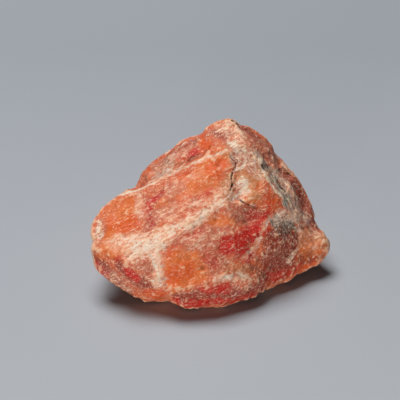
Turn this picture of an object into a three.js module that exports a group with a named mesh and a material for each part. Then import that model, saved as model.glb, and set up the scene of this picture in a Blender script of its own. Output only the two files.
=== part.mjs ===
// A lump of rough triplite, an orange-red phosphate mineral, broken out of its vein and a little worn.
// It is one piece of stone: a long slab-like top that slopes to the front, a taller head at the back right,
// a low spur at the right and a small flat spot underneath, on which it rests.
// Millimetres, +Z up, +X along the stone to its spur, origin on the table under the middle of the stone.
import * as THREE from "three";
import { ConvexHull } from "three/addons/math/ConvexHull.js";
import { ImprovedNoise } from "three/addons/math/ImprovedNoise.js";
import { TessellateModifier } from "three/addons/modifiers/TessellateModifier.js";
import { mergeVertices } from "three/addons/utils/BufferGeometryUtils.js";

// The view that the front corners are given in: a camera in front of the stone, looking down at it.
const VIEW_ELEVATION = THREE.MathUtils.degToRad(35);
const VIEW_DISTANCE = 500;
const VIEW_AIM = new THREE.Vector3(-1.7, 6.8, 9.7);

// The heart is the point from which every spot of the skin can be seen.
const HEART = new THREE.Vector3(1.0, -1.5, 5.6);

// How finely the flat faces are split: the longest edge, and the distance under which points crowd.
const LONGEST_EDGE = 1.35;
const SPLIT_ROUNDS = 9;
const CROWDING = 0.65;
const WELD = 1e-3;

// How far wear has rounded the edges between the faces, and the depth that it took off.
const WEAR_PASSES = 1;
const WEAR_SHARE = 0.5;
const WEAR_LOSS = 0.12;

// The stone's cleavage runs along the top slab, up to the head. The lumps and steps are drawn out along it.
const CLEAVAGE = new THREE.Vector3(0.88, 0.2, 0.42).normalize();
const SWELL_SIZE = 7;
const SWELL_HEIGHT = 0.6;
const LUMP_SIZE = 2.6;
const LUMP_STRETCH = 2.2;
const LUMP_HEIGHT = 0.18;
const STEP_SHIFT = 41.3;
const STEP_HEIGHT = 0.22;
const STEP_SOFTNESS = 0.12;

const viewUp = new THREE.Vector3(0, Math.sin(VIEW_ELEVATION), Math.cos(VIEW_ELEVATION));
const viewBack = new THREE.Vector3(0, -Math.cos(VIEW_ELEVATION), Math.sin(VIEW_ELEVATION));
const eye = VIEW_AIM.clone().addScaledVector(viewBack, VIEW_DISTANCE);

// A corner that the view shows at across and up, in the upright plane of the view through the origin,
// and that stands at the given height above the table.
function seen(across, up, height) {
  const spot = new THREE.Vector3(across, 0, 0).addScaledVector(viewUp, up);
  const alongRay = (height - eye.z) / (spot.z - eye.z);
  return eye.clone().lerp(spot, alongRay);
}

// A corner on the far side or underneath, given by its place.
function at(x, y, z) {
  return new THREE.Vector3(x, y, z);
}

// The outline from the left nose over the long back edge of the top.
const noseEdge = [
  seen(-19.4, 1.7, 7.0),
  seen(-19.9, 4.2, 9.0),
  seen(-20.1, 6.5, 10.6),
  seen(-20.0, 8.3, 11.8),
  seen(-18.9, 10.5, 13.2),
  seen(-16.7, 12.2, 14.4),
  seen(-13.9, 13.4, 15.3),
];

// The ridge along the top, from the nose's back edge up to the head.
const topRidge = [
  seen(-11.7, 14.2, 15.9),
  seen(-9.9, 14.8, 16.5),
  seen(-7.9, 15.5, 17.2),
  seen(-5.9, 16.2, 17.9),
  seen(-4.2, 17.0, 18.6),
  seen(-2.5, 17.9, 19.3),
  seen(-0.3, 19.4, 20.5),
  seen(2.0, 20.4, 21.3),
  seen(3.6, 20.6, 21.5),
];

// The narrow valley behind that ridge.
const valley = [
  seen(-11.2, 15.2, 15.4),
  seen(-8.0, 16.1, 16.1),
  seen(-5.1, 17.3, 17.1),
  seen(-2.5, 18.7, 18.5),
  seen(-0.7, 20.1, 19.6),
];

// The rough shoulder behind the valley, up to the head's left edge.
const shoulderEdge = [
  seen(-11.3, 16.6, 15.2),
  seen(-10.2, 17.7, 15.9),
  seen(-8.5, 18.9, 16.8),
  seen(-6.8, 20.4, 17.9),
  seen(-5.4, 21.7, 18.9),
  seen(-3.7, 22.4, 19.6),
  seen(-1.7, 22.9, 20.3),
];

const shoulderFace = [
  seen(-8.0, 17.6, 16.9),
  seen(-5.4, 19.2, 18.0),
  seen(-2.6, 20.6, 19.1),
];

// The head: its broken crown, and the crest that runs down its right side.
const crown = [
  seen(-0.5, 24.2, 21.9),
  seen(0.9, 25.4, 23.2),
  seen(2.9, 26.1, 24.3),
  seen(3.9, 25.7, 24.2),
  seen(5.0, 24.0, 23.4),
  seen(5.2, 24.9, 22.9),
  seen(6.5, 24.8, 22.5),
  seen(9.3, 22.7, 20.7),
];

const crest = [
  seen(5.6, 22.4, 22.7),
  seen(6.8, 20.6, 21.5),
  seen(8.0, 18.5, 19.9),
  seen(9.1, 16.6, 18.5),
  seen(10.4, 14.6, 17.0),
  seen(11.6, 13.1, 15.8),
  seen(12.3, 11.9, 14.6),
  seen(12.1, 10.4, 13.4),
];

const headFace = [
  seen(0.9, 22.8, 21.8),
  seen(2.4, 22.0, 22.0),
  seen(5.0, 20.4, 21.3),
];

// The notch between the slab and the right block, where a flake has gone, and the block's own face.
const notch = [
  seen(3.3, 19.3, 20.8),
  seen(3.9, 17.8, 19.9),
  seen(3.7, 16.3, 19.1),
  seen(3.4, 14.9, 18.3),
  seen(3.5, 13.6, 17.5),
  seen(4.1, 19.2, 20.4),
  seen(4.6, 17.6, 19.3),
  seen(4.4, 16.2, 18.4),
  seen(4.1, 14.7, 17.5),
  seen(4.4, 13.4, 16.7),
];

const rightBlock = [
  seen(6.2, 17.6, 19.4),
  seen(6.4, 15.0, 17.8),
  seen(8.8, 13.6, 16.8),
  seen(5.3, 12.1, 15.6),
  seen(6.1, 11.4, 15.2),
  seen(7.6, 10.8, 14.7),
  seen(9.4, 10.1, 14.0),
  seen(10.8, 9.8, 13.2),
  seen(6.0, 10.8, 14.5),
  seen(7.7, 10.3, 14.0),
  seen(9.5, 9.5, 13.3),
  seen(11.0, 9.2, 12.4),
];

// The outline down the far right side to where the spur begins.
const rightEdge = [
  seen(11.5, 19.5, 17.8),
  seen(13.0, 18.3, 16.4),
  seen(15.0, 15.8, 14.3),
  seen(16.9, 12.6, 11.5),
  seen(17.9, 9.1, 8.9),
  seen(18.1, 7.2, 7.5),
];

const rightFace = [
  seen(8.8, 18.5, 19.2),
  seen(9.8, 17.1, 18.0),
  seen(10.7, 15.9, 16.9),
  seen(11.8, 14.5, 15.9),
  seen(12.9, 13.1, 14.8),
  seen(13.5, 11.7, 13.7),
  seen(9.8, 19.8, 19.3),
  seen(11.4, 18.1, 17.9),
  seen(12.8, 16.5, 16.5),
  seen(14.2, 14.6, 15.0),
  seen(15.3, 12.2, 12.9),
  seen(13.4, 9.6, 12.1),
  seen(15.6, 9.2, 10.4),
  seen(12.4, 7.4, 10.6),
  seen(14.8, 6.8, 8.8),
];

// The low spur at the right, and the crease where it leaves the body.
const spurEdge = [
  seen(19.0, 6.4, 6.5),
  seen(19.9, 5.1, 5.4),
  seen(20.2, 3.4, 4.1),
  seen(19.1, 1.6, 2.6),
  seen(16.0, -0.3, 1.5),
  seen(12.1, -1.9, 1.3),
];

const spurCrease = [
  seen(16.2, 6.9, 7.5),
  seen(15.2, 4.6, 6.3),
  seen(14.2, 2.9, 5.4),
  seen(12.4, 1.3, 4.8),
  seen(10.2, -0.2, 4.4),
  seen(8.4, -1.5, 4.2),
];

const spurFace = [
  seen(17.8, 6.1, 6.9),
  seen(18.2, 4.2, 5.7),
  seen(16.8, 2.6, 4.9),
  seen(14.6, 0.9, 3.9),
  seen(11.8, -0.7, 3.4),
];

// The crease between the front face and the dark lower right, ending on the front face.
const lowerRight = [
  seen(8.6, 5.6, 10.6),
  seen(7.3, 2.9, 8.8),
  seen(11.2, 3.4, 7.8),
];

// The brow, where the slab's top turns down into the front face.
const brow = [
  seen(-15.0, 3.2, 10.4),
  seen(-11.9, 4.7, 11.6),
  seen(-8.5, 5.7, 12.5),
  seen(-5.1, 7.2, 13.6),
  seen(-0.5, 9.4, 15.2),
  seen(2.6, 11.4, 16.4),
];

const slabTop = [
  seen(-17.0, 8.0, 12.3),
  seen(-13.4, 8.8, 13.4),
  seen(-8.9, 10.4, 15.0),
  seen(-3.9, 12.9, 16.9),
  seen(0.6, 15.4, 18.6),
];

const frontFace = [
  seen(-4.6, 2.6, 10.3),
  seen(-0.4, 3.8, 11.0),
  seen(4.2, 6.4, 12.3),
  seen(3.2, 1.6, 8.9),
  seen(6.6, 8.3, 12.6),
  seen(2.0, 8.8, 14.2),
];

// The edge that ends the front face at its left, and the ledge along its foot.
const frontCorner = [
  seen(-9.0, 1.4, 9.2),
  seen(-8.4, -1.0, 7.2),
  seen(-8.3, -2.9, 5.2),
];

const ledge = [
  seen(-6.9, -3.3, 5.6),
  seen(-4.2, -3.4, 5.8),
  seen(-0.9, -3.0, 5.9),
  seen(2.2, -2.4, 5.8),
  seen(6.0, -2.0, 5.2),
];

// The foot under the ledge, which leans in to the table.
const foot = [
  seen(9.9, -3.2, 1.2),
  seen(8.2, -4.6, 1.0),
  seen(6.5, -5.3, 0.8),
  seen(3.1, -5.8, 0.7),
  seen(-1.2, -6.4, 0.7),
  seen(-3.4, -6.5, 0.8),
  seen(-5.1, -6.0, 1.0),
  seen(-7.0, -4.6, 1.6),
  seen(-8.8, -5.1, 1.1),
  seen(-11.1, -5.4, 1.0),
  seen(-12.8, -4.8, 1.5),
  seen(-15.0, -3.4, 2.4),
  seen(-17.3, -1.9, 3.6),
  seen(-18.9, 0.0, 5.3),
];

// The edge over the lower left face, from the nose to the notch in the foot.
const lowerLeft = [
  seen(-17.0, 2.4, 9.2),
  seen(-14.9, 2.1, 9.6),
  seen(-12.7, 0.3, 8.4),
  seen(-10.5, -1.4, 6.6),
  seen(-9.3, -3.7, 3.8),
];

// The side away from the view, from the crown down to the table.
const farSide = [
  at(-16.0, 3.6, 11.8),
  at(-18.4, 1.0, 9.4),
  at(-16.8, 1.8, 5.6),
  at(-12.8, 6.4, 12.4),
  at(-13.2, 5.4, 6.6),
  at(-11.4, 9.8, 13.0),
  at(-10.2, 10.8, 7.4),
  at(-7.6, 12.4, 15.6),
  at(-5.6, 13.4, 9.4),
  at(-2.6, 13.2, 18.2),
  at(1.2, 13.0, 20.2),
  at(0.4, 14.6, 13.8),
  at(5.4, 13.4, 18.8),
  at(7.2, 14.2, 12.0),
  at(10.4, 12.4, 16.0),
  at(12.6, 11.8, 9.6),
  at(14.8, 9.6, 11.2),
  at(16.4, 7.0, 6.8),
  at(18.2, 3.2, 4.6),
];

const farFoot = [
  at(-15.4, -2.6, 2.6),
  at(-13.0, 2.2, 2.4),
  at(-9.8, 7.6, 3.0),
  at(-4.2, 11.2, 3.4),
  at(2.2, 12.8, 4.4),
  at(8.6, 11.6, 4.2),
  at(13.8, 8.0, 3.2),
  at(17.4, 3.2, 1.8),
];

// The middle of the underside dips a little below the table, so that levelling it leaves the flat spot.
const underside = [
  at(-4.5, -1.0, -0.4),
  at(0.0, -3.0, -0.4),
  at(4.5, -1.0, -0.4),
  at(4.5, 3.5, -0.4),
  at(0.0, 5.0, -0.4),
  at(-4.5, 3.5, -0.4),
  at(-11.0, -6.5, 1.1),
  at(-3.5, -9.6, 0.8),
  at(5.5, -8.0, 0.8),
  at(11.5, -0.5, 1.0),
  at(9.5, 6.5, 1.4),
  at(0.0, 9.8, 1.6),
  at(-9.5, 3.6, 1.4),
];

const corners = [
  noseEdge, topRidge, valley, shoulderEdge, shoulderFace, crown, crest, headFace, notch, rightBlock,
  rightEdge, rightFace, spurEdge, spurCrease, spurFace, lowerRight, brow, slabTop, frontFace,
  frontCorner, ledge, foot, lowerLeft, farSide, farFoot, underside,
].flat();

// Joins the corners with flat faces, each to its neighbours as they lie round the heart.
function facetedSkin(points) {
  const directions = points.map((point) => point.clone().sub(HEART).normalize());
  const cornerOf = new Map(directions.map((direction, i) => [direction, points[i]]));
  const hull = new ConvexHull().setFromPoints(directions);
  const places = [];
  for (const face of hull.faces) {
    let edge = face.edge;
    do {
      places.push(...cornerOf.get(edge.head().point).toArray());
      edge = edge.next;
    } while (edge !== face.edge);
  }
  const skin = new THREE.BufferGeometry();
  skin.setAttribute("position", new THREE.Float32BufferAttribute(places, 3));
  return skin;
}

// Splits the flat faces finely enough to carry the relief. Of points that crowd together one is kept,
// so that the faces between the points left are near to even.
function refined(points) {
  const split = new TessellateModifier(LONGEST_EDGE, SPLIT_ROUNDS).modify(facetedSkin(points));
  const places = split.attributes.position;
  const kept = [...points];
  for (let i = 0; i < places.count; i += 1) {
    const place = new THREE.Vector3().fromBufferAttribute(places, i);
    if (kept.every((other) => other.distanceToSquared(place) > CROWDING ** 2)) {
      kept.push(place);
    }
  }
  return mergeVertices(facetedSkin(kept), WELD);
}

// For each point of an indexed geometry, the points that share an edge with it.
function neighboursOf(geometry) {
  const sets = Array.from({ length: geometry.attributes.position.count }, () => new Set());
  const index = geometry.index.array;
  for (let i = 0; i < index.length; i += 3) {
    for (const [a, b] of [[0, 1], [1, 2], [2, 0]]) {
      sets[index[i + a]].add(index[i + b]);
      sets[index[i + b]].add(index[i + a]);
    }
  }
  return sets.map((set) => [...set]);
}

// Wear: each point moves part of the way to the middle of its neighbours, which rounds the edges a little.
function worn(geometry) {
  const neighbours = neighboursOf(geometry);
  const position = geometry.attributes.position;
  const middle = new THREE.Vector3();
  const spot = new THREE.Vector3();
  for (let pass = 0; pass < WEAR_PASSES; pass += 1) {
    const before = position.clone();
    for (let i = 0; i < position.count; i += 1) {
      middle.set(0, 0, 0);
      for (const j of neighbours[i]) {
        middle.add(spot.fromBufferAttribute(before, j));
      }
      middle.divideScalar(neighbours[i].length);
      spot.fromBufferAttribute(before, i).lerp(middle, WEAR_SHARE);
      position.setXYZ(i, spot.x, spot.y, spot.z);
    }
  }
  return geometry;
}

const perlin = new ImprovedNoise();

// The height of the broken surface over its worn face: swells, and lumps and steps drawn out along the
// cleavage. Space is squeezed that way, so that what the noise draws comes out long. The height also makes
// up for what the wear took.
function reliefAt(spot) {
  const squeeze = -spot.dot(CLEAVAGE) * (1 - 1 / LUMP_STRETCH);
  const lump = spot.clone().addScaledVector(CLEAVAGE, squeeze).divideScalar(LUMP_SIZE);
  const swell = spot.clone().divideScalar(SWELL_SIZE);
  const swellHeight = SWELL_HEIGHT * perlin.noise(swell.x, swell.y, swell.z);
  const lumpHeight = LUMP_HEIGHT * perlin.noise(lump.x, lump.y, lump.z);
  const step = perlin.noise(lump.x + STEP_SHIFT, lump.y, lump.z);
  const stepHeight = STEP_HEIGHT * THREE.MathUtils.smoothstep(step, -STEP_SOFTNESS, STEP_SOFTNESS);
  return WEAR_LOSS + swellHeight + lumpHeight + stepHeight;
}

function broken(geometry) {
  geometry.computeVertexNormals();
  const { position, normal } = geometry.attributes;
  const spot = new THREE.Vector3();
  const outward = new THREE.Vector3();
  for (let i = 0; i < position.count; i += 1) {
    spot.fromBufferAttribute(position, i);
    outward.fromBufferAttribute(normal, i);
    spot.addScaledVector(outward, reliefAt(spot));
    position.setXYZ(i, spot.x, spot.y, spot.z);
  }
  return geometry;
}

// Levels what dips below the table into the flat spot, and puts the origin under the middle.
function settled(geometry) {
  const position = geometry.attributes.position;
  for (let i = 0; i < position.count; i += 1) {
    position.setZ(i, Math.max(position.getZ(i), 0));
  }
  geometry.computeBoundingBox();
  const middle = geometry.boundingBox.getCenter(new THREE.Vector3());
  return geometry.translate(-middle.x, -middle.y, 0);
}

const skin = settled(broken(worn(refined(corners))));

const finish = new THREE.MeshStandardMaterial({ color: 0xd9704a, roughness: 0.55, metalness: 0 });
const stone = new THREE.Mesh(skin, finish);
stone.name = "triplite";

const group = new THREE.Group();
group.add(stone);

export default group;
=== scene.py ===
# %% [markdown]
# # A lump of rough triplite
#
# Triplite is an orange-red phosphate mineral. This lump was broken out of its vein, so its skin is all
# fracture: sloping slabs, sharp crests, pale crushed stone, a few dark cracks and a grey vein. It could
# be sculpted by hand, but a skin that is worked out from strokes and noise can be read and changed. The
# solid gives the large shape. Here the same skin gets its fine relief and its colours.

# %% Load the frame
import math
import random

import bpy
import numpy as np
from mathutils import Euler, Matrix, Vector, noise
from mathutils.bvhtree import BVHTree


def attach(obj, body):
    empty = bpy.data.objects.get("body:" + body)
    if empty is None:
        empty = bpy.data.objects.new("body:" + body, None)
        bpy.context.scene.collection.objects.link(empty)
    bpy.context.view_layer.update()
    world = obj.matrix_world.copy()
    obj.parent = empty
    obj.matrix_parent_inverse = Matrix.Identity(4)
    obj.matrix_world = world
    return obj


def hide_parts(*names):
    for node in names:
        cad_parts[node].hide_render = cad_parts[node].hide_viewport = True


MM = 0.001
NOISE_SEED = 11
noise.seed_set(NOISE_SEED)

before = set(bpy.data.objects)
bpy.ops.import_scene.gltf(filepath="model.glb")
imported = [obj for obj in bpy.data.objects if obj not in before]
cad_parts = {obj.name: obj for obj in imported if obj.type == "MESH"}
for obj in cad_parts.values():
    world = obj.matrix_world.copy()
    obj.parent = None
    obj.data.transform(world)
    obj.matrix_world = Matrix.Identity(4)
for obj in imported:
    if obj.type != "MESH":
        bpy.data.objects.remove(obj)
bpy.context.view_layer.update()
cad_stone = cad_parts["triplite"]

# %% [markdown]
# ## The camera
#
# The photograph was taken from in front, looking down at the stone. A camera can be moved by hand until
# the outlines agree. Here it is worked out from a direction, a distance and an aim, because the same
# numbers also find places on the stone. Half a metre away, with a long lens, the perspective is weak. The
# width of the view at the stone sets the lens.

# %% Camera
VIEW_ELEVATION = math.radians(35)
VIEW_DISTANCE = 500 * MM
VIEW_AIM = Vector((-1.80, 6.13, 9.70)) * MM
VIEW_WIDTH = 68 * MM
VIEW_PIXELS = 400

view_right = Vector((1, 0, 0))
view_up = Vector((0, math.sin(VIEW_ELEVATION), math.cos(VIEW_ELEVATION)))
view_back = Vector((0, -math.cos(VIEW_ELEVATION), math.sin(VIEW_ELEVATION)))
eye = VIEW_AIM + view_back * VIEW_DISTANCE

bpy.ops.object.camera_add(location=eye, rotation=(math.pi / 2 - VIEW_ELEVATION, 0, 0))
camera = bpy.context.object
camera.data.lens = camera.data.sensor_width * VIEW_DISTANCE / VIEW_WIDTH
camera.data.clip_start = 0.05
camera.data.clip_end = 10
bpy.context.scene.camera = camera
print("lens", round(camera.data.lens), "mm")

# %% [markdown]
# ## Colours
#
# The shader works in linear light, where a colour is hard to judge. So colours are picked as they look on
# a screen, and a small function turns them into light by the screen's own curve.

# %% Colour helper
def screen(red, green, blue):
    """The linear colour for a colour picked on screen, 0 to 255."""
    def linear(value):
        value /= 255
        return value / 12.92 if value <= 0.04045 else ((value + 0.055) / 1.055) ** 2.4
    return (linear(red), linear(green), linear(blue), 1)

print("mid grey on screen is", round(screen(128, 128, 128)[0], 2), "in light")

# %% [markdown]
# ## The sheet under the stone
#
# The stone lies on a plain blue-grey sheet that gets a little darker towards the back. A lamp could make
# that fade, but it would change the stone too. So the fade is painted shade: the sheet's own colour fades
# along Y between two greys.

# %% Sheet
SHEET_SIZE = 4

bpy.ops.object.select_all(action="DESELECT")
bpy.ops.mesh.primitive_plane_add(size=SHEET_SIZE, location=(0, 0, 0))
floor = bpy.context.object
floor.name = "floor"
print("sheet", SHEET_SIZE, "m wide")

# %% Colour of the sheet
SHEET_NEAR = screen(187, 193, 201)
# The far grey is painted shade: the sheet darkens towards the back.
SHEET_FAR = screen(160, 166, 176)
FADE_FROM = -40 * MM
FADE_TO = 70 * MM

sheet_paint = bpy.data.materials.new("blue-grey sheet")
sheet_paint.use_nodes = True
sheet_nodes = sheet_paint.node_tree.nodes
sheet_links = sheet_paint.node_tree.links
sheet_shader = sheet_nodes["Principled BSDF"]
sheet_place = sheet_nodes.new("ShaderNodeTexCoord")
sheet_axes = sheet_nodes.new("ShaderNodeSeparateXYZ")
sheet_fade = sheet_nodes.new("ShaderNodeMapRange")
sheet_fade.inputs["From Min"].default_value = FADE_FROM
sheet_fade.inputs["From Max"].default_value = FADE_TO
sheet_mix = sheet_nodes.new("ShaderNodeMix")
sheet_mix.data_type = "RGBA"
sheet_mix.inputs["A"].default_value = SHEET_NEAR
sheet_mix.inputs["B"].default_value = SHEET_FAR
sheet_links.new(sheet_place.outputs["Object"], sheet_axes.inputs[0])
sheet_links.new(sheet_axes.outputs["Y"], sheet_fade.inputs["Value"])
sheet_links.new(sheet_fade.outputs[0], sheet_mix.inputs["Factor"])
sheet_links.new(sheet_mix.outputs["Result"], sheet_shader.inputs["Base Color"])
sheet_shader.inputs["Roughness"].default_value = 0.9
sheet_shader.inputs["Specular IOR Level"].default_value = 0.1
floor.data.materials.append(sheet_paint)
print("sheet fades from", FADE_FROM / MM, "to", FADE_TO / MM, "mm")

# %% [markdown]
# ## The light
#
# One soft lamp stands high, at the left and a little behind, so that the shadow falls to the front and
# the right. The faces that turn away from it could be lit by a bright room, but that would open the dark
# shadow under the stone. So a small, low lamp far in front lights them, and the grey room adds only a
# trace.

# %% Light
LAMP_AIM = Vector((0, 0, 10)) * MM

def soft_lamp(name, place, size, power, tint):
    """An area lamp at a place in metres, turned towards the stone."""
    turn = (LAMP_AIM - Vector(place)).to_track_quat("-Z", "Y").to_euler()
    bpy.ops.object.light_add(type="AREA", location=place, rotation=turn)
    lamp = bpy.context.object
    lamp.name = name
    lamp.data.size = size
    lamp.data.energy = power
    lamp.data.color = tint
    print(name, "at", place)

soft_lamp("key lamp", place=(-0.13, 0.22, 0.63), size=0.34, power=4.65, tint=(1.0, 0.98, 0.95))
soft_lamp("front lamp", place=(-0.20, -0.86, 0.03), size=0.055, power=4.7, tint=(1.0, 0.96, 0.92))

# %% Room
ROOM_TINT = (0.80, 0.88, 1.0, 1)
ROOM_STRENGTH = 0.010

room = bpy.data.worlds.new("grey room")
room.use_nodes = True
room_light = room.node_tree.nodes["Background"]
room_light.inputs["Color"].default_value = ROOM_TINT
room_light.inputs["Strength"].default_value = ROOM_STRENGTH
bpy.context.scene.world = room
bpy.context.scene.view_settings.view_transform = "Standard"
print("room light", ROOM_STRENGTH)

# %% [markdown]
# ## The skin
#
# The solid's faces are about a millimetre wide, too coarse for broken grain. Cutting each one into
# smaller ones would keep them long here and short there. So a copy is merged into one closed skin, and a
# voxel remesh makes that skin even and fine everywhere. A light smoothing takes the flat look off the
# faces but leaves the crests.

# %% Merge a copy
MERGE_REACH = 0.001 * MM

stone = bpy.data.objects.new("rough_triplite", cad_stone.data.copy())
bpy.context.scene.collection.objects.link(stone)
bpy.ops.object.select_all(action="DESELECT")
stone.select_set(True)
bpy.context.view_layer.objects.active = stone
bpy.ops.object.mode_set(mode="EDIT")
bpy.ops.mesh.select_all(action="SELECT")
bpy.ops.mesh.remove_doubles(threshold=MERGE_REACH)
bpy.ops.object.mode_set(mode="OBJECT")
print("merged to", len(stone.data.vertices), "points")

# %% Remesh and smooth it
SKIN_GRAIN = 0.2 * MM
SMOOTHING = 0.5
SMOOTHING_ROUNDS = 3

even = stone.modifiers.new("even skin", "REMESH")
even.mode = "VOXEL"
even.voxel_size = SKIN_GRAIN
ease = stone.modifiers.new("ease the facets", "SMOOTH")
ease.factor = SMOOTHING
ease.iterations = SMOOTHING_ROUNDS
for modifier in list(stone.modifiers):
    bpy.ops.object.modifier_apply(modifier=modifier.name)
bpy.ops.object.shade_smooth()
print("skin of", len(stone.data.vertices), "points")

# %% [markdown]
# ## Finding a place on the stone
#
# The markings are set where the photograph shows them. They could be painted on an unwrapped skin, but
# that takes a picture and leaves seams. Here a ray from the camera through a picture point meets the skin
# at the marking's place in space, so it stays there from any other side. Marks on the hidden sides are
# found the same way, by a straight ray from another side.

# %% Read the skin
def read_points():
    """The skin's points, in millimetres."""
    places = np.empty(len(stone.data.vertices) * 3)
    stone.data.vertices.foreach_get("co", places)
    return places.reshape(-1, 3) / MM

def read_normals():
    """The outward direction at each point."""
    normals = np.empty(len(stone.data.vertices) * 3, np.float32)
    stone.data.vertex_normals.foreach_get("vector", normals)
    return normals.reshape(-1, 3).astype(float)

points = read_points()
normals = read_normals()
print("points from", points.min(axis=0).round(1), "to", points.max(axis=0).round(1), "mm")

# %% Rays
PIXEL = VIEW_WIDTH / VIEW_PIXELS
SIDE_MIDDLE = Vector((0, 1, 10)) * MM
SIDE_START = 100  # millimetres out from the middle

skin = BVHTree.FromObject(stone, bpy.context.evaluated_depsgraph_get())

def on_stone(column, row):
    """The place, in millimetres, that the camera sees at a point of the picture."""
    across = (column - VIEW_PIXELS / 2) * PIXEL
    up = (VIEW_PIXELS / 2 - row) * PIXEL
    way = view_right * across + view_up * up - view_back * VIEW_DISTANCE
    return skin.ray_cast(eye, way.normalized())[0] / MM

def on_side(azimuth, elevation, across, up):
    """The place seen straight from a side, so many millimetres across and up from the middle, or None."""
    turn = Euler((math.pi / 2 - math.radians(elevation), 0, math.radians(azimuth))).to_matrix()
    start = SIDE_MIDDLE + turn @ Vector((across, up, SIDE_START)) * MM
    place = skin.ray_cast(start, turn @ Vector((0, 0, -1)))[0]
    return None if place is None else place / MM

CROWN = (228, 124)
print("the crown is at", on_stone(*CROWN))

# %% [markdown]
# ## Strokes
#
# A marking is a stroke: a line of places with a reach. Each skin point gets the stroke's strength by its
# distance from that line. That alone would give smooth borders, which stone doesn't have. So space is
# first shaken by noise, strongly for patches and less for fine lines.

# %% Shaken space
def shaken(places, size, amount):
    """Every place moved by a noise of a size and an amount, in millimetres."""
    return places + amount * np.array([noise.noise_vector(Vector(place) / size) for place in places])

ragged = shaken(shaken(points, size=2.6, amount=0.9), size=0.8, amount=0.35)
less_ragged = shaken(shaken(points, size=1.2, amount=0.3), size=0.5, amount=0.12)
print("space is shaken by up to", round(np.abs(ragged - points).max(), 2), "mm")

# %% Strokes
STROKE_FADE = 1.35

def distance_to_line(places, line):
    """The distance of each place from a line of points."""
    line = [np.array(spot) for spot in line]
    best = np.linalg.norm(places - line[0], axis=1)
    for start, end in zip(line, line[1:]):
        along = end - start
        share = np.clip((places - start) @ along / (along @ along), 0, 1)
        away = places - start - share[:, None] * along
        best = np.minimum(best, np.linalg.norm(away, axis=1))
    return best

def smooth(share):
    """A share from 0 to 1 that starts and ends gently."""
    return share * share * (3 - 2 * share)

def stroke(layer, reach, strength, line, space=ragged):
    """Raises a layer to a strength within a reach of a line, and fades it out just past that."""
    share = np.clip(STROKE_FADE - distance_to_line(space, line) / reach, 0, 1)
    layer[:] = np.maximum(layer, strength * smooth(share))

LAYER_NAMES = ("amber", "orange", "red", "maroon", "rose", "tan", "vein", "soot_and_shade", "crushed", "cream")
layers = {name: np.zeros(len(points)) for name in LAYER_NAMES}

def draw(name, strokes, space=ragged):
    """Draws strokes given as a place's name, a reach, a strength and a line of picture points."""
    for place, reach, strength, line in strokes:
        stroke(layers[name], reach, strength, [on_stone(*spot) for spot in line], space)
    print(name, len(strokes), "strokes:", ", ".join(sorted({place for place, *_ in strokes})))

# %% [markdown]
# ## Clear stone
#
# Clear triplite is amber to orange. It shows in patches wherever the stone broke cleanly, the largest
# ones on the nose, on the slab and low on the front. Noise alone could scatter such patches, but it
# wouldn't put them where this stone has them. Each row names the place, then gives the reach in
# millimetres, the strength and the line in picture points.

# %% Amber patches
AMBER_PATCHES = (
    ("nose", 2.5, 0.9, ((112, 228), (122, 216), (130, 208))),
    ("nose", 1.8, 0.5, ((104, 214), (118, 203))),
    ("under the nose", 1.8, 0.9, ((100, 250), (108, 248), (118, 254))),
    ("upper slab", 2.4, 1.0, ((204, 172), (216, 160), (227, 154))),
    ("upper slab", 1.8, 0.7, ((190, 182), (202, 180), (214, 184))),
    ("slab", 1.4, 0.8, ((166, 200), (182, 190), (196, 192))),
    ("middle", 1.5, 1.0, ((214, 222), (230, 221))),
    ("right lobe", 2.7, 1.0, ((170, 273), (181, 267), (192, 261))),
    ("right lobe", 1.8, 0.9, ((174, 283), (190, 280), (200, 274))),
    ("spur", 2.4, 0.8, ((306, 238), (312, 248), (306, 256))),
    ("foot of the spur", 1.4, 0.7, ((300, 262), (314, 258))),
    ("cheek", 1.6, 0.9, ((248, 176), (254, 186), (252, 198))),
)
draw("amber", AMBER_PATCHES)

# %% Orange patches
ORANGE_PATCHES = (
    ("nose", 1.6, 0.9, ((112, 222), (120, 228), (132, 224))),
    ("upper slab", 1.4, 1.0, ((214, 170), (222, 164))),
    ("slab edge", 1.2, 0.9, ((182, 176), (190, 174))),
    ("slab", 1.0, 0.7, ((176, 204), (190, 198))),
    ("top of the shoulder", 1.2, 0.8, ((188, 140), (182, 147))),
    ("foot of the shoulder", 1.2, 0.9, ((146, 168), (149, 178))),
    ("under the crown", 1.2, 0.8, ((203, 132), (208, 146), (206, 156))),
    ("right lobe", 1.8, 0.95, ((170, 276), (186, 270))),
    ("between the lobes", 1.6, 0.7, ((164, 256), (172, 250))),
    ("middle right", 1.8, 0.8, ((270, 200), (274, 206))),
    ("foot of the left lobe", 1.2, 0.8, ((140, 292), (158, 294))),
    ("crown", 0.9, 0.8, ((213, 125), (220, 121))),
    ("right foot", 1.4, 0.9, ((270, 276), (290, 271), (312, 262))),
    ("low middle", 1.2, 0.6, ((236, 262), (252, 262))),
    ("foot of the shoulder", 1.0, 0.8, ((146, 170), (147, 180))),
)
draw("orange", ORANGE_PATCHES)
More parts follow.
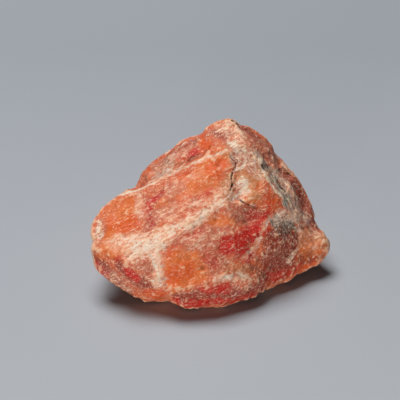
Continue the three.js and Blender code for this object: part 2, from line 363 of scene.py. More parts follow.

# %% [markdown]
# ## Iron stain, and painted shade on the foot
#
# Iron stains some of the stone red, and where it is older, a muddy maroon. The largest red spot lies on
# the front, under the crack. The right flank and the foot are mostly maroon. One layer with two strengths
# could hold both, but the two overlap, so each has a layer of its own. Along the foot the maroon is also
# painted shade, darkening the undersides near the table.

# %% Red patches and lines
RED_PATCHES = (
    ("great red spot", 1.7, 1.0, ((226, 246), (236, 242), (248, 236), (262, 228))),
    ("great red spot", 1.3, 1.0, ((224, 243), (230, 247))),
    ("great red spot", 1.1, 0.9, ((236, 252), (250, 254))),
    ("middle right", 1.2, 0.8, ((266, 214), (266, 226))),
    ("red spot of the slab", 0.7, 0.8, ((150, 203), (155, 199))),
    ("slab", 0.9, 0.45, ((157, 196), (163, 190), (169, 186))),
    ("low slab", 0.9, 0.5, ((147, 218), (151, 228))),
    ("slab", 0.8, 0.6, ((196, 198), (210, 190))),
    ("cheek", 0.9, 0.4, ((264, 196), (268, 204))),
    ("left foot", 1.1, 0.9, ((99, 264), (106, 274))),
    ("under the nose", 0.8, 0.6, ((116, 262), (122, 258))),
    ("foot", 1.3, 0.72, ((178, 302), (200, 303), (222, 301))),
    ("foot", 1.3, 0.74, ((206, 290), (226, 287))),
    ("foot", 1.2, 0.6, ((236, 300), (250, 296))),
    ("top of the shoulder", 1.3, 0.7, ((182, 156), (196, 152))),
    ("right foot", 1.2, 0.55, ((268, 278), (284, 273), (300, 266))),
    ("middle right", 1.6, 0.5, ((252, 218), (262, 220))),
    ("foot", 1.0, 0.6, ((212, 300), (230, 299))),
    ("left of the red spot", 1.2, 0.5, ((206, 256), (216, 264))),
    ("left of the red spot", 0.9, 0.5, ((186, 236), (200, 232))),
)
RED_LINES = (
    ("red spot of the slab", 0.8, 1.0, ((144, 211), (149, 208))),
    ("left lobe", 1.1, 0.9, ((127, 269), (135, 278))),
)
draw("red", RED_PATCHES)
draw("red", RED_LINES, less_ragged)

# %% Maroon patches
# The foot, left foot and right foot rows are partly painted shade on the undersides near the table.
MAROON_PATCHES = (
    ("foot of the spur", 1.2, 0.6, ((300, 258), (314, 258))),
    ("slab", 1.0, 0.65, ((154, 200), (162, 191), (170, 186))),
    ("low slab", 0.8, 0.6, ((147, 216), (150, 228))),
    ("middle right", 1.7, 0.66, ((250, 211), (262, 216))),
    ("low right", 2.6, 1.0, ((276, 240), (290, 244), (286, 256))),
    ("right foot", 2.4, 0.9, ((268, 262), (282, 262))),
    ("right flank", 2.0, 0.8, ((294, 178), (303, 192), (308, 206), (311, 222))),
    ("crest", 1.5, 0.7, ((272, 158), (282, 166))),
    ("behind the head", 1.6, 0.7, ((236, 123), (246, 130), (256, 138))),
    ("shoulder", 1.4, 0.8, ((166, 158), (180, 152), (192, 158))),
    ("foot of the shoulder", 1.0, 0.7, ((150, 176), (160, 170))),
    ("top of the shoulder", 1.0, 0.7, ((178, 146), (190, 142))),
    ("right flank", 1.2, 0.6, ((284, 166), (292, 178), (300, 196))),
    ("left foot", 2.2, 1.0, ((99, 262), (110, 278), (124, 290))),
    ("left lobe", 1.6, 0.8, ((122, 268), (136, 280), (148, 284))),
    ("foot", 2.4, 1.0, ((184, 297), (206, 298), (236, 296), (258, 288))),
    ("crown", 1.4, 0.8, ((216, 130), (228, 134))),
    ("head", 1.2, 0.7, ((238, 150), (250, 154), (258, 160))),
    ("right foot", 1.8, 0.85, ((262, 280), (276, 274), (290, 266))),
    ("head", 1.0, 0.8, ((234, 158), (236, 168))),
    ("right flank", 2.6, 0.62, ((298, 180), (307, 196), (312, 216))),
    ("low middle", 1.0, 0.5, ((250, 268), (262, 270))),
    ("shoulder", 0.9, 0.85, ((170, 160), (180, 154), (186, 148))),
    ("shoulder", 1.2, 0.6, ((160, 168), (172, 160))),
)
draw("maroon", MAROON_PATCHES)

# %% [markdown]
# ## Rose and tan
#
# Between the clear and the stained places the stone is cloudy: rose where it is fresh, and tan, with some
# clay on it, at the head and on the spur. One mixed colour could stand for both, but they lie in
# different places, so they are two layers.

# %% Rose patches
ROSE_PATCHES = (
    ("middle right", 2.2, 0.8, ((234, 212), (248, 220), (256, 226))),
    ("left slab", 1.9, 0.9, ((142, 200), (146, 214), (150, 226))),
    ("low slab", 1.6, 0.8, ((154, 220), (164, 212), (172, 206))),
    ("slab", 1.6, 0.7, ((170, 196), (180, 188))),
    ("left lobe", 1.8, 0.8, ((134, 254), (146, 262), (152, 270))),
    ("left of the red spot", 2.2, 0.85, ((176, 240), (196, 236), (214, 234), (226, 234))),
    ("left of the red spot", 2.2, 0.8, ((206, 248), (218, 262))),
    ("shoulder", 2.4, 0.8, ((156, 160), (172, 152), (190, 146))),
    ("crown", 2.0, 0.8, ((214, 130), (226, 132), (232, 142))),
    ("behind the head", 2.4, 0.9, ((246, 136), (258, 144), (270, 154), (282, 166))),
    ("right flank", 1.6, 0.8, ((282, 166), (292, 184), (300, 204))),
    ("right flank", 3.2, 0.9, ((290, 172), (302, 188), (310, 208), (312, 222))),
    ("left lobe", 2.2, 0.7, ((120, 278), (138, 286))),
    ("foot", 2.0, 0.7, ((222, 292), (240, 292))),
    ("nose tip", 1.6, 0.7, ((100, 226), (98, 246))),
    ("head", 1.5, 0.7, ((240, 162), (252, 168))),
)
draw("rose", ROSE_PATCHES)

# %% Tan patches
TAN_PATCHES = (
    ("head", 2.8, 1.0, ((238, 152), (249, 158), (256, 168))),
    ("tall crack", 1.3, 1.0, ((231, 178), (226, 188))),
    ("cheek", 1.5, 0.9, ((244, 176), (252, 184), (254, 194))),
    ("head", 1.5, 0.8, ((240, 148), (250, 152))),
    ("low middle", 1.7, 0.6, ((222, 267), (236, 268), (246, 268))),
    ("low flank", 1.3, 0.7, ((300, 216), (308, 214))),
    ("spur", 1.6, 0.6, ((314, 234), (322, 246))),
    ("low right", 1.3, 0.6, ((276, 254), (286, 258))),
)
draw("tan", TAN_PATCHES)

# %% [markdown]
# ## The grey vein, its black alteration and painted shade
#
# A grey vein of another mineral runs down beside the sharp crest and splits along its length into fibres.
# Black alteration has settled in a patch at its lower end. The dark in its groove, in the tall crack and
# in the notch of the crown is painted shade, drawn on the same layer. The vein could be a piece of its
# own, but it is grown into the stone and has no edge, so it is marked on the same skin.

# %% Vein patches and lines
VEIN_PATCHES = (
    ("crest", 1.2, 0.5, ((254, 152), (263, 162))),
    ("right flank", 1.4, 0.36, ((280, 170), (290, 184), (298, 200))),
    ("right flank", 1.7, 0.42, ((286, 188), (298, 206), (304, 218))),
    ("foot of the vein", 1.5, 0.6, ((276, 220), (292, 220))),
    ("head", 2.0, 0.42, ((238, 156), (250, 162), (258, 168))),
    ("shoulder", 1.4, 0.36, ((156, 172), (168, 164), (178, 156))),
)
VEIN_LINES = (
    ("groove", 1.0, 1.0, ((263, 163), (268, 170), (275, 180), (281, 190), (287, 203))),
    ("right flank", 1.1, 0.8, ((274, 174), (284, 190), (291, 206), (296, 218))),
)
draw("vein", VEIN_PATCHES)
draw("vein", VEIN_LINES, less_ragged)

# %% Soot patches, and lines of painted shade
SOOT_AND_SHADE_PATCHES = (
    ("foot of the vein", 1.7, 0.9, ((276, 222), (284, 228), (292, 225))),
    ("foot of the vein", 1.4, 0.66, ((272, 233), (286, 235), (298, 232))),
    ("head", 1.8, 0.42, ((240, 158), (250, 160), (258, 156))),
    ("right flank", 2.2, 0.4, ((284, 176), (296, 196), (304, 210))),
    ("low right", 2.2, 0.36, ((272, 244), (290, 244), (284, 256))),
    # Painted shade in the tall crack.
    ("tall crack", 1.0, 0.62, ((234, 184), (236, 193), (242, 196))),
)
# These lines are painted shade in the vein's groove and in the notch of the crown.
PAINTED_SHADE_LINES = (
    ("groove", 0.45, 1.0, ((262, 163), (270, 173), (276, 177))),
    ("groove", 0.22, 0.6, ((279, 182), (285, 190), (289, 198))),
    ("crown", 0.4, 0.8, ((233, 121), (240, 127))),
)
draw("soot_and_shade", SOOT_AND_SHADE_PATCHES)
draw("soot_and_shade", PAINTED_SHADE_LINES, less_ragged)

# %% [markdown]
# ## Crushed stone
#
# Where the stone was squeezed or struck, it is crushed to a pale sugar. A wide band of it runs from the
# nose along the lower edge of the slab. The palest places and the thin healed cracks are nearly cream. On
# the glossy facet of the cheek, the cream is partly a painted highlight.
# The grains could be modelled one by one, but they are finer than the mesh. So strokes say where they
# lie, and the finish makes them.

# %% Crushed patches and lines
CRUSHED_PATCHES = (
    ("spur", 1.6, 0.55, ((304, 240), (314, 246))),
    ("left slab", 1.2, 0.7, ((138, 198), (142, 206), (140, 214))),
    ("slab", 2.0, 0.5, ((168, 214), (186, 204), (202, 200))),
    ("slab", 1.2, 0.55, ((166, 188), (182, 182), (200, 172))),
    ("right flank", 2.2, 0.5, ((278, 166), (290, 186), (300, 212))),
    ("head", 2.0, 0.3, ((240, 152), (252, 158), (258, 166))),
    ("pale band", 2.1, 1.0, ((114, 244), (126, 242), (146, 241), (160, 237))),
    ("end of the band", 1.4, 0.95, ((160, 237), (174, 230), (190, 222), (204, 214))),
    ("pale band", 2.2, 1.0, ((128, 250), (148, 248), (162, 244))),
    ("between the lobes", 1.4, 1.0, ((158, 250), (158, 266), (158, 282))),
    ("middle", 1.4, 0.9, ((204, 216), (214, 204), (222, 194))),
    ("nose tip", 1.0, 0.8, ((97, 226), (96, 236), (98, 242))),
    ("cheek", 1.4, 0.6, ((222, 200), (236, 196), (250, 190))),
    ("crown", 1.6, 0.7, ((218, 124), (228, 128), (238, 134))),
    ("shoulder", 0.8, 0.8, ((154, 178), (168, 172), (182, 168))),
    ("shoulder", 1.8, 0.55, ((152, 172), (166, 161), (184, 150))),
    ("left of the red spot", 1.4, 0.45, ((186, 240), (204, 240), (216, 238))),
    ("low middle", 0.9, 0.7, ((218, 278), (232, 278), (248, 278))),
    ("left foot", 1.6, 0.45, ((112, 276), (126, 288))),
    ("foot of the vein", 1.5, 0.6, ((276, 216), (290, 212), (300, 208))),
    ("low middle", 1.2, 0.4, ((228, 257), (244, 261))),
    ("spur", 0.9, 0.7, ((298, 228), (310, 230), (318, 236))),
)
CRUSHED_LINES = (
    ("slab edge", 0.5, 1.0, ((120, 195), (140, 188), (156, 182), (176, 172), (206, 158), (229, 150))),
    ("right of the red spot", 0.5, 0.8, ((270, 216), (262, 232), (256, 246), (244, 257))),
    ("left of the spur", 0.5, 0.8, ((301, 232), (298, 247), (288, 262))),
)
draw("crushed", CRUSHED_PATCHES)
draw("crushed", CRUSHED_LINES, less_ragged)

# %% Cream patches and lines
CREAM_PATCHES = (
    ("foot of the shoulder", 0.7, 0.5, ((150, 180), (160, 174), (170, 170))),
    ("head", 1.0, 0.66, ((233, 141), (238, 144), (243, 148))),
    # The cheek facet's cream is partly a painted highlight.
    ("cheek", 1.2, 0.72, ((240, 186), (245, 184), (243, 190))),
    ("nose tip", 0.8, 0.6, ((97, 224), (96, 232), (102, 236))),
    ("pale band", 1.4, 0.62, ((138, 247), (150, 248), (160, 244))),
    ("low middle", 0.5, 0.8, ((222, 279), (230, 277))),
)
CREAM_LINES = (
    ("right of the red spot", 0.2, 0.5, ((271, 217), (263, 231), (259, 244), (254, 256))),
    ("head", 0.4, 0.8, ((236, 170), (244, 165))),
    ("groove", 0.34, 1.0, ((258, 159), (261, 164), (265, 172), (270, 182), (276, 190), (280, 196))),
    ("cheek", 0.28, 0.8, ((232, 199), (240, 193), (250, 190))),
    ("end of the slab edge", 0.32, 1.0, ((118, 196), (130, 191), (144, 186), (152, 183))),
    ("slab edge", 0.22, 0.8, ((160, 178), (176, 171), (192, 164), (206, 157), (218, 153), (229, 150))),
    ("middle", 0.22, 0.7, ((218, 206), (226, 198), (232, 190))),
    ("between the lobes", 0.45, 0.8, ((152, 256), (156, 268), (160, 280))),
    ("foot of the vein", 0.4, 0.7, ((275, 226), (277, 221))),
)
draw("cream", CREAM_PATCHES)
draw("cream", CREAM_LINES, less_ragged)

# %% [markdown]
# ## The hidden sides
#
# The same stone goes on behind and underneath: mostly orange and salmon, with patches of red and rose,
# some crushed stone, and the grey vein coming out again on the far side. The photograph doesn't show
# these sides, so their strokes can't be placed by eye. They are drawn at random from a fixed seed, so
# they come out the same each time.

# %% Marks on the hidden sides
HIDDEN_SEED = 31
HIDDEN_SIDES = (
    (180, 10), (150, 30), (215, 25), (120, 15), (250, 15), (180, 60), (0, -85), (90, 10), (270, 15))
HIDDEN_MIX = (
    3 * ["amber"] + 2 * ["orange"] + 2 * ["red"] + ["maroon"] + 2 * ["rose"] + ["tan"] + 3 * ["crushed"])
ACROSS_RANGE = (-17, 17)
UP_RANGE = (-10, 10)
LENGTH_RANGE = (2, 7)
LEAN_RANGE = (-0.5, 0.9)
REACH_RANGE = (1.0, 2.6)
STRENGTH_RANGE = (0.7, 1.0)

chance = random.Random(HIDDEN_SEED)
hidden = {name: np.zeros(len(points)) for name in layers}
for azimuth, elevation in HIDDEN_SIDES:
    for name in HIDDEN_MIX:
        across = chance.uniform(*ACROSS_RANGE)
        up = chance.uniform(*UP_RANGE)
        length = chance.uniform(*LENGTH_RANGE)
        lean = chance.uniform(*LEAN_RANGE)
        spots = [(across + length * share, up + length * lean * share) for share in (0, 0.5, 1)]
        line = [on_side(azimuth, elevation, *spot) for spot in spots]
        if None not in line:
            stroke(hidden[name], chance.uniform(*REACH_RANGE), chance.uniform(*STRENGTH_RANGE), line)
print("hidden strokes tried:", len(HIDDEN_SIDES) * len(HIDDEN_MIX))

# %% The vein behind
VEIN_SIDE = (150, 20)
VEIN_BEHIND = ((-6, 4), (-4, -1), (-3, -6), (-1, -10))
SOOTY_POINTS = 2

vein_behind = [on_side(*VEIN_SIDE, *spot) for spot in VEIN_BEHIND]
stroke(hidden["vein"], reach=1.6, strength=0.42, line=vein_behind)
stroke(hidden["soot_and_shade"], reach=0.9, strength=0.6, line=vein_behind[:SOOTY_POINTS])

from_eye = points - np.array(eye / MM)
unseen = np.einsum("ij,ij->i", from_eye, normals) >= 0
for name, layer in layers.items():
    layer[unseen] = np.maximum(layer, hidden[name])[unseen]
print("hidden points", int(unseen.sum()))

# %% [markdown]
# ## The broken relief
#
# Broken triplite is rough at several sizes: small crystal faces that each lean their own way, steps along
# the cleavage, and a sugary grain. Displace modifiers could add them, but not drawn out along the
# cleavage and eased. So each is worked out as a height over the smooth skin. Where the faces meet badly,
# they leave pits that the stone doesn't have, so the deepest few are filled.

# %% Noise shapes
CLEAVAGE_LEAN = np.array([0.88, 0.2, 0.42])
CLEAVAGE = CLEAVAGE_LEAN / np.linalg.norm(CLEAVAGE_LEAN)
SEED_SPREAD = 7.3

def stretched(places, times):
    """Space squeezed along the cleavage, so that a noise in it comes out long that way."""
    along = places @ CLEAVAGE
    return places - np.outer(along * (1 - 1 / times), CLEAVAGE)

def crystal_faces(places, size):
    """Flat cells that each lean their own way: a height in millimetres."""
    heights = np.empty(len(places))
    for number, place in enumerate(places / size):
        seed = noise.voronoi(Vector(place))[1][0]
        heights[number] = noise.noise_vector(seed * SEED_SPREAD).dot(Vector(place) - seed)
    return heights * size

def cloud(places, size):
    """A soft noise of a size, from about -1 to 1."""
    return np.array([noise.noise(Vector(place)) for place in places / size])

print("cleavage", CLEAVAGE.round(2))

# %% Easing over neighbours
edge_ends = np.empty(len(stone.data.edges) * 2, int)
stone.data.edges.foreach_get("vertices", edge_ends)
edge_ends = edge_ends.reshape(-1, 2)
neighbour_count = np.bincount(edge_ends.ravel(), minlength=len(points))

def of_neighbours(values):
    """The mean of a value over each point's neighbours."""
    total = np.zeros_like(values)
    np.add.at(total, edge_ends[:, 0], values[edge_ends[:, 1]])
    np.add.at(total, edge_ends[:, 1], values[edge_ends[:, 0]])
    return total / (neighbour_count if values.ndim == 1 else neighbour_count[:, None])

def eased(values, rounds):
    """Values averaged over their neighbours, so many times."""
    for _ in range(rounds):
        values = of_neighbours(values)
    return values

print("neighbours of a point: up to", neighbour_count.max())

# %% Relief
LARGE_RISE = 0.24
SMALL_RISE = 0.30
STEP_RISE = 0.03
GRAIN_RISE = 0.06
STEP_SHARPNESS = 6
SOFT_GRAIN_SHARE = 0.8
OTHER_PART = 20
PITS_FILLED = 3

loose = stretched(shaken(points, size=1.5, amount=0.6), times=1.6)
large_faces = eased(crystal_faces(loose, size=2.4), rounds=5)
small_faces = eased(crystal_faces(shaken(points, size=0.6, amount=0.3), size=0.8), rounds=2)
bands = cloud(stretched(points, times=3.0) + OTHER_PART, size=1.1)
steps = eased(np.tanh(STEP_SHARPNESS * bands), rounds=2)
grain = cloud(points, size=0.42) + SOFT_GRAIN_SHARE * cloud(points, size=0.85)
height = LARGE_RISE * large_faces + SMALL_RISE * small_faces + STEP_RISE * steps + GRAIN_RISE * grain
height = np.maximum(height, np.percentile(height, PITS_FILLED))
print("relief from", round(height.min(), 2), "to", round(height.max(), 2), "mm")

# %% [markdown]
# ## Cracks
#
# Open cracks are narrow and deep. Dark lines in the finish alone would look drawn on. So the cracks are
# cut into the relief, where they hold real shade, and also kept as a layer, on which the finish paints
# more shade in dark brown. A noise makes each one now wider and now narrower.

# %% Cracks
CRACK_LINES = (
    ("top of the tall crack", 0.25, 0.13, ((231, 157), (235, 163), (235, 170))),
    ("tall crack", 0.38, 0.2, ((234, 172), (232, 177), (233, 183), (231, 189))),
    ("low crack", 0.35, 0.18, ((239, 198), (242, 202), (248, 205), (254, 207))),
    ("groove by the vein", 0.3, 0.22, ((262, 165), (268, 171), (273, 175))),
    ("inside the vein", 0.25, 0.16, ((277, 180), (282, 187), (286, 192))),
    ("notch of the crown", 0.3, 0.24, ((232, 120), (240, 127))),
    ("foot of the shoulder", 0.25, 0.18, ((150, 181), (170, 173), (190, 165))),
)
CRACK_FADE = 1.2
CRACK_WANDER = 0.6

cracks = np.zeros(len(points))
crack_width = 1 + CRACK_WANDER * cloud(points, size=0.9)
for place, depth, width, line in CRACK_LINES:
    away = distance_to_line(less_ragged, [on_stone(*spot) for spot in line])
    cut = np.clip(CRACK_FADE - away / (width * crack_width), 0, 1)
    cracks = np.maximum(cracks, cut)
    height = height - depth * cut
    print("crack", place)
print("crack points", int((cracks > 0.5).sum()))

# %% [markdown]
# ## Fibres, swells and the front ridge
#
# The vein's fibres are a noise drawn out along the vein. A few soft swells and hollows bring the outline
# to that of the photograph. Corners of the solid could do that too, but on the fine skin they stay soft.
# One ridge stands between the two lobes of the front, and crushed stone has lost a little of its skin.

# %% Fibres of the vein
VEIN_TOP = (262, 160)
VEIN_FOOT = (290, 203)
FIBRE_STRETCH = 0.85
FIBRE_RISE = 0.22

vein_way = np.array((on_stone(*VEIN_FOOT) - on_stone(*VEIN_TOP)).normalized())
across_vein = points - np.outer(points @ vein_way * FIBRE_STRETCH, vein_way)
height = height + FIBRE_RISE * layers["vein"] * cloud(across_vein, size=0.5)
print("vein runs along", vein_way.round(2))

# %% Swells and hollows
SWELLS = (
    ("nose", 3.0, 0.55, ((97, 243), (100, 258), (104, 268))),
    ("under the nose", 2.5, 0.4, ((97, 255), (98, 263))),
    ("foot of the shoulder", 4.5, -0.75, ((144, 178), (152, 168))),
    ("end of the slab edge", 2.5, -0.5, ((138, 185), (141, 180))),
    ("shoulder", 3.5, -0.9, ((158, 157), (164, 152), (171, 148))),
    ("right flank", 4.5, -1.2, ((291, 172), (298, 183), (304, 194))),
    ("top of the shoulder", 3.0, -0.4, ((186, 141), (192, 138))),
    ("beside the head", 3.0, -1.0, ((283, 159), (287, 165))),
    ("end of the spur", 2.5, 0.35, ((324, 240),)),
    ("foot of the spur", 2.5, 0.5, ((323, 244), (321, 256))),
)
for place, reach, rise, line in SWELLS:
    away = distance_to_line(points, [on_stone(*spot) for spot in line])
    height = height + rise * smooth(np.clip(1 - away / reach, 0, 1))
    print("swell of", rise, "mm at", place)

# %% Front ridge and crushed stone
RIDGE_LINE = ((158, 246), (160, 264), (158, 286))
RIDGE_RISE = 0.35
RIDGE_REACH = 1.3
CRUSHED_LOSS = 0.10
LOSS_MIDDLE = 0.5

from_ridge = distance_to_line(less_ragged, [on_stone(*spot) for spot in RIDGE_LINE])
height = height + RIDGE_RISE * np.clip(1 - from_ridge / RIDGE_REACH, 0, 1)
height = height - CRUSHED_LOSS * layers["crushed"] * (LOSS_MIDDLE + cloud(points, size=0.5))
print("heights from", round(height.min(), 2), "to", round(height.max(), 2), "mm")

# %% Set the relief
moved = points + normals * height[:, None]
moved[:, 2] = np.maximum(moved[:, 2], 0)  # nothing sinks into the table
stone.data.vertices.foreach_set("co", (moved * MM).ravel())
stone.data.update()
print("top of the skin at", round(moved[:, 2].max(), 2), "mm")

# %% [markdown]
# ## Bruised edges and painted shade in hollows
#
# Edges of broken stone are bruised pale, and the hollows get painted shade. The shader can find them by
# itself, but then other programs don't see them. So how far each point stands out from its neighbours is
# worked out here and kept as two layers.

# %% Edges and hollows
EDGE_GAIN = 0.28

proud = np.einsum("ij,ij->i", read_points() - eased(read_points(), rounds=4), read_normals())
proud = proud / np.abs(proud).mean()
layers["ridge"] = eased(np.clip(EDGE_GAIN * proud, 0, 1), rounds=1)
layers["hollow"] = eased(np.clip(-EDGE_GAIN * proud, 0, 1), rounds=2)
layers["crack"] = cracks
for name, layer in layers.items():
    attribute = stone.data.attributes.new(name, "FLOAT", "POINT")
    attribute.data.foreach_set("value", layer.astype(np.float32))
print(len(layers), "layers kept on the skin")

# %% [markdown]
# ## Two effects for the finish
#
# Two node groups do the fine work. One breaks a soft marking into a ragged patch with a noise. The other
# makes grains that each lean their own way, for the bump and the glints. Their nodes could stand in the
# material, but as groups they keep it short.

# %% Node helpers
FLOAT = "NodeSocketFloat"
VECTOR = "NodeSocketVector"

def new_group(name, inputs, outputs):
    """A node group with named sockets, its tree and its two ends."""
    tree = bpy.data.node_groups.new(name, "ShaderNodeTree")
    for label, kind in inputs:
        tree.interface.new_socket(label, in_out="INPUT", socket_type=kind)
    for label, kind in outputs:
        tree.interface.new_socket(label, in_out="OUTPUT", socket_type=kind)
    return tree, tree.nodes.new("NodeGroupInput"), tree.nodes.new("NodeGroupOutput")

def calculate(tree, kind, operation, values):
    """A Math or Vector Math node fed by sockets or plain values."""
    made = tree.nodes.new(kind)
    made.operation = operation
    for socket, value in zip(made.inputs, values):
        if isinstance(value, (int, float, tuple)):
            socket.default_value = value
        else:
            tree.links.new(value, socket)
    return made

def maths(tree, operation, *values):
    """The result of a Math node."""
    return calculate(tree, "ShaderNodeMath", operation, values).outputs[0]

def vector_maths(tree, operation, *values):
    """A Vector Math node."""
    return calculate(tree, "ShaderNodeVectorMath", operation, values)

# %% A ragged patch
HALF = 0.5

patch, patch_in, patch_out = new_group(
    "Ragged patch",
    [("Marking", FLOAT), ("Noise", FLOAT), ("Raggedness", FLOAT), ("Edge", FLOAT)],
    [("Mask", FLOAT)])
swing = maths(patch, "SUBTRACT", patch_in.outputs["Noise"], HALF)
swing = maths(patch, "MULTIPLY", swing, patch_in.outputs["Raggedness"])
broken_marking = maths(patch, "ADD", patch_in.outputs["Marking"], swing)
fade_in = patch.nodes.new("ShaderNodeMapRange")
fade_in.interpolation_type = "SMOOTHSTEP"
patch.links.new(broken_marking, fade_in.inputs["Value"])
patch.links.new(maths(patch, "SUBTRACT", HALF, patch_in.outputs["Edge"]), fade_in.inputs["From Min"])
patch.links.new(maths(patch, "ADD", HALF, patch_in.outputs["Edge"]), fade_in.inputs["From Max"])
patch.links.new(fade_in.outputs[0], patch_out.inputs["Mask"])
print("group", patch.name)

# %% Leaning grains
grains, grains_in, grains_out = new_group(
    "Leaning grains", [("Place", VECTOR)], [("Height", FLOAT), ("Shade", FLOAT)])
cells = grains.nodes.new("ShaderNodeTexVoronoi")
cells.inputs["Scale"].default_value = 1.0
grains.links.new(grains_in.outputs["Place"], cells.inputs["Vector"])
from_seed = vector_maths(grains, "SUBTRACT", grains_in.outputs["Place"], cells.outputs["Position"])
lean = vector_maths(grains, "SUBTRACT", cells.outputs["Color"], (HALF, HALF, HALF))
rise = vector_maths(grains, "DOT_PRODUCT", from_seed.outputs[0], lean.outputs[0])
grains.links.new(rise.outputs["Value"], grains_out.inputs["Height"])
shade = grains.nodes.new("ShaderNodeSeparateColor")
grains.links.new(cells.outputs["Color"], shade.inputs[0])
grains.links.new(shade.outputs[0], grains_out.inputs["Shade"])
print("group", grains.name)

# %% [markdown]
# ## The finish: tools and noises
#
# Each noise lies in the stone's own coordinates, drawn out along the cleavage, so that it runs through
# the stone in one direction. The vein's fibres run along the vein instead. A picture could give such a
# grain on one side only. Small functions make a noise, read a marking and lay a colour, so that each
# layer below takes a few lines.

# %% Start the finish
finish = bpy.data.materials.new("rough triplite")
finish.use_nodes = True
tree = finish.node_tree
shader = tree.nodes["Principled BSDF"]
own_place = tree.nodes.new("ShaderNodeTexCoord").outputs["Object"]
cleavage_turn = Vector(CLEAVAGE).to_track_quat("X", "Z").to_euler()
vein_turn = Vector(vein_way).to_track_quat("X", "Z").to_euler()

def laid_out(along, across, turn=cleavage_turn):
    """Coordinates in cells of a length along a direction and a width across it, in millimetres."""
    mapping = tree.nodes.new("ShaderNodeMapping")
    mapping.vector_type = "TEXTURE"
    mapping.inputs["Rotation"].default_value = turn
    mapping.inputs["Scale"].default_value = (along * MM, across * MM, across * MM)
    tree.links.new(own_place, mapping.inputs["Vector"])
    return mapping.outputs[0]

def noise_of(along, across, detail, roughness, offset=0, turn=cleavage_turn):
    """A noise of a length and a width; an offset takes it from another part of the noise."""
    place = laid_out(along, across, turn)
    if offset:
        place = vector_maths(tree, "ADD", place, (offset, offset, offset)).outputs[0]
    texture = tree.nodes.new("ShaderNodeTexNoise")
    texture.inputs["Scale"].default_value = 1.0
    texture.inputs["Detail"].default_value = detail
    texture.inputs["Roughness"].default_value = roughness
    tree.links.new(place, texture.inputs["Vector"])
    return texture.outputs[0]

def marking(name):
    """A layer of the skin, read in the finish."""
    attribute = tree.nodes.new("ShaderNodeAttribute")
    attribute.attribute_name = name
    return attribute.outputs["Fac"]

print("cleavage turned by", [round(math.degrees(angle)) for angle in cleavage_turn], "degrees")

# %% Lay a colour
def times_plus(value, factor, addend):
    """A value times a factor, plus a number or another value."""
    return maths(tree, "MULTIPLY_ADD", value, factor, addend)

def ragged_patch(marked, texture, raggedness, edge):
    """The mask that a noise makes of a marking."""
    made = tree.nodes.new("ShaderNodeGroup")
    made.node_tree = patch
    made.inputs["Raggedness"].default_value = raggedness
    made.inputs["Edge"].default_value = edge
    tree.links.new(marked, made.inputs["Marking"])
    tree.links.new(texture, made.inputs["Noise"])
    return made.outputs["Mask"]

def over(under, paint, mask, strength=1.0):
    """Lays a colour over what is there, where the mask is."""
    mix = tree.nodes.new("ShaderNodeMix")
    mix.data_type = "RGBA"
    tree.links.new(maths(tree, "MULTIPLY", mask, strength), mix.inputs["Factor"])
    for value, socket in ((under, mix.inputs["A"]), (paint, mix.inputs["B"])):
        if isinstance(value, tuple):
            socket.default_value = value
        else:
            tree.links.new(value, socket)
    return mix.outputs["Result"]

MARK_REACHED = 6.0

def only_marked(mask, name):
    """A mask kept off the places that a marking doesn't reach."""
    reached = maths(tree, "MULTIPLY", marking(name), MARK_REACHED)
    return maths(tree, "MULTIPLY", mask, maths(tree, "MINIMUM", reached, 1.0))

# %% Noises
broad = noise_of(along=4.0, across=2.2, detail=4, roughness=0.6)
torn = noise_of(along=1.5, across=0.8, detail=8, roughness=0.72, offset=11)
mottle = noise_of(along=0.9, across=0.6, detail=5, roughness=0.7, offset=91)
fine = noise_of(along=0.45, across=0.32, detail=4, roughness=0.7, offset=23)
flecks = noise_of(along=0.8, across=0.36, detail=5, roughness=0.85, offset=51)
shards = noise_of(along=2.2, across=0.9, detail=2, roughness=0.5, offset=83)
net = noise_of(along=1.9, across=0.9, detail=3, roughness=0.65, offset=5)
small_net = noise_of(along=1.1, across=0.5, detail=2, roughness=0.6, offset=67)
streaks = noise_of(along=3.4, across=0.24, detail=3, roughness=0.6, offset=37)
fibres = noise_of(along=2.6, across=0.22, detail=4, roughness=0.7, offset=71, turn=vein_turn)
clusters = times_plus(torn, factor=1.2, addend=-0.68)
print("finish starts with", len(tree.nodes), "nodes")

# %% [markdown]
# ## The finish: clear and stained stone
#
# The colours are laid one over another from the lowest: the salmon of the plain stone, the clear amber
# and orange, the embers that glow between them, then the stains. One colour ramp would do if they all
# followed one value. Each of them has its own places, so each has its own mask.

# %% Plain and clear stone
SALMON = screen(217, 94, 46)
PALE_SALMON = screen(226, 126, 82)
AMBER = screen(231, 117, 43)
ORANGE = screen(230, 92, 12)
EMBER = screen(200, 48, 14)
EMBER_LEVEL = 0.10

colour = over(SALMON, PALE_SALMON, broad)
amber_mask = ragged_patch(marking("amber"), torn, raggedness=1.5, edge=0.45)
colour = over(colour, AMBER, amber_mask, strength=0.9)
orange_mask = ragged_patch(marking("orange"), torn, raggedness=1.6, edge=0.45)
colour = over(colour, ORANGE, orange_mask, strength=0.9)
ember_base = maths(tree, "SUBTRACT", broad, EMBER_LEVEL)
ember_marking = times_plus(marking("amber"), factor=-0.5, addend=ember_base)
ember_mask = ragged_patch(ember_marking, mottle, raggedness=2.4, edge=0.35)
colour = over(colour, EMBER, ember_mask, strength=0.5)
print("plain stone laid")

# %% Stains
TAN = screen(196, 132, 84)
ROSE = screen(198, 110, 86)
MAROON = screen(140, 38, 24)
IRON_RED = screen(206, 20, 4)
STAINS = (
    ("tan", TAN, 1.8, 0.75),
    ("rose", ROSE, 1.8, 0.7),
    ("maroon", MAROON, 2.0, 0.8),
    ("red", IRON_RED, 1.5, 0.95),
)

for name, paint, raggedness, strength in STAINS:
    mask = ragged_patch(marking(name), torn, raggedness, edge=0.4)
    colour = over(colour, paint, mask, strength)
print(len(STAINS), "stains laid")

